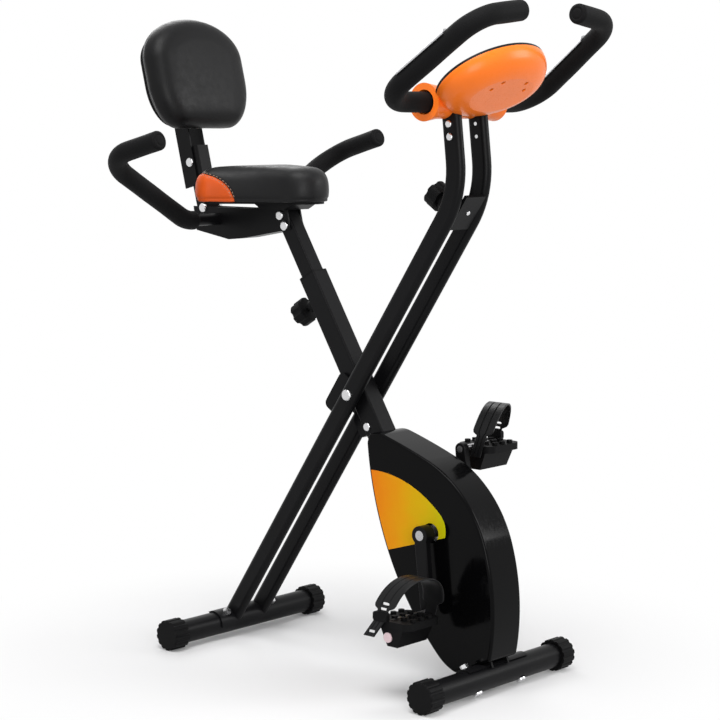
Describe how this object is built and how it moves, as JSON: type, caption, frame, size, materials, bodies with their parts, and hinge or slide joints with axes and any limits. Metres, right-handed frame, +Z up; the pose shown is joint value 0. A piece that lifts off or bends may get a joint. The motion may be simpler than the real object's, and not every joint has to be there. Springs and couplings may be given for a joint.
{
  "type": "folding exercise bike",
  "caption": "Folding upright exercise bike with crossed legs, belt-driven flywheel in a closed housing, padded seat with back rest and side handles, foam handlebar and console.",
  "frame": {"origin": "on the floor under the middle of the plan", "axes": "+X forward, from the seat to the handlebar; +Y to the rider's left; +Z up"},
  "size_m": [0.8974, 0.6016, 1.131],
  "materials": {
    "frame_black": "satin black powder coat",
    "zinc": "bright zinc plate",
    "bright_steel": "turned steel",
    "cast_iron": "machined",
    "black_plastic": "matte",
    "gloss_black": "polished",
    "panel_orange": "printed film, orange fading to yellow-green",
    "orange_plastic": "polished",
    "button_red": "semi-gloss",
    "lens": "tinted window",
    "foam": "matte closed-cell foam",
    "strap_rubber": "matte",
    "belt_rubber": "matte",
    "leather": "soft black, fine grain"
  },
  "bodies": {
    "main_frame": {"main_tube": "frame_black", "seat_tube_bush": "black_plastic", "fold_lock_plate": "frame_black", "fork_plates": "frame_black", "bottom_bracket_shell": "frame_black", "bearings": "bright_steel", "front_stabiliser": "frame_black", "front_saddle": "frame_black", "front_end_caps": "black_plastic", "front_bolts": "zinc", "housing_right": "gloss_black", "housing_left": "gloss_black", "housing_screws": "zinc", "side_panels": "panel_orange", "drive_belt": "belt_rubber"},
    "rail_frame": {"rail_right": "frame_black", "rail_left": "frame_black", "rail_bolts": "zinc", "pivot_bolt": "zinc", "stop_bracket": "frame_black", "rear_stabiliser": "frame_black", "rear_saddle": "frame_black", "rear_end_caps": "black_plastic", "tension_bracket": "frame_black", "handlebar": "frame_black", "handlebar_grips": "foam", "handlebar_stems": "frame_black", "pulse_plates": "bright_steel", "console_back": "orange_plastic", "console_front": "black_plastic", "console_lens": "lens", "battery_door": "orange_plastic"},
    "seat": {"seat_post": "frame_black", "seat_bracket": "frame_black", "seat_bolts": "zinc", "seat_clamp": "frame_black", "seat_board": "black_plastic", "seat_cushion": "leather", "seat_handle": "frame_black", "seat_grips": "foam", "backrest_upright": "frame_black"},
    "backrest": {"backrest_bars": "frame_black", "backrest_bolt": "zinc", "backrest_board": "black_plastic", "backrest_pad": "leather"},
    "crank": {"crank_axle": "bright_steel", "crank_arms": "frame_black", "crank_pulley": "black_plastic", "pedal_spindles": "bright_steel"},
    "pedal_right": {"pedal_right": "black_plastic", "pedal_right_strap": "strap_rubber"},
    "pedal_left": {"pedal_left": "black_plastic", "pedal_left_strap": "strap_rubber"},
    "flywheel": {"flywheel": "cast_iron", "flywheel_shaft": "bright_steel"},
    "brake": {"magnet_bracket": "frame_black", "brake_magnets": "bright_steel"},
    "tension_knob": {"tension_knob": "black_plastic"},
    "seat_pin": {"seat_pin_knob": "black_plastic"},
    "mode_button": {"mode_button": "button_red"}
  },
  "joints": [
    {"name": "fold", "type": "hinge", "parent": "main_frame", "child": "rail_frame", "pos_m": [0.04066, 0, 0.475], "axis": [0, -1, 0], "range_deg": [0, 30]},
    {"name": "seat_height", "type": "slide", "parent": "main_frame", "child": "seat", "axis": [-0.5195, 0, 0.8545], "range_m": [-0.06, 0.06]},
    {"name": "seat_pin_pull", "type": "slide", "parent": "main_frame", "child": "seat_pin", "axis": [-0.8545, 0, -0.5195], "range_m": [0, 0.01], "stiffness_N_per_m": 400, "springref_m": -0.004},
    {"name": "backrest_height", "type": "slide", "parent": "seat", "child": "backrest", "axis": [-0.2504, 0, 0.9681], "range_m": [-0.015, 0.02]},
    {"name": "crank_turn", "type": "hinge", "parent": "main_frame", "child": "crank", "pos_m": [0.22466, 0, 0.258], "axis": [0, 1, 0], "continuous": true},
    {"name": "flywheel_turn", "type": "hinge", "parent": "main_frame", "child": "flywheel", "pos_m": [0.27466, 0, 0.14], "axis": [0, 1, 0], "continuous": true},
    {"name": "pedal_right_turn", "type": "hinge", "parent": "crank", "child": "pedal_right", "pos_m": [0.23892, -0.124, 0.12879], "axis": [0, 1, 0], "continuous": true},
    {"name": "pedal_left_turn", "type": "hinge", "parent": "crank", "child": "pedal_left", "pos_m": [0.21039, 0.124, 0.38721], "axis": [0, 1, 0], "continuous": true},
    {"name": "tension_turn", "type": "hinge", "parent": "rail_frame", "child": "tension_knob", "pos_m": [0.19643, 0, 0.82694], "axis": [-0.83, 0, 0.5577], "range_deg": [0, 300]},
    {"name": "brake_swing", "type": "hinge", "parent": "main_frame", "child": "brake", "pos_m": [0.19466, 0, 0.2], "axis": [0, 1, 0], "range_deg": [0, 4.5]},
    {"name": "mode_press", "type": "slide", "parent": "rail_frame", "child": "mode_button", "axis": [0.5878, 0, -0.809], "range_m": [0, 0.0015], "stiffness_N_per_m": 600, "springref_m": -0.0005}
  ],
  "couplings": [
    {"joint": "flywheel_turn", "follows": "crank_turn", "ratio": 5.7143},
    {"joint": "brake_swing", "follows": "tension_turn", "ratio": 0.015}
  ]
}
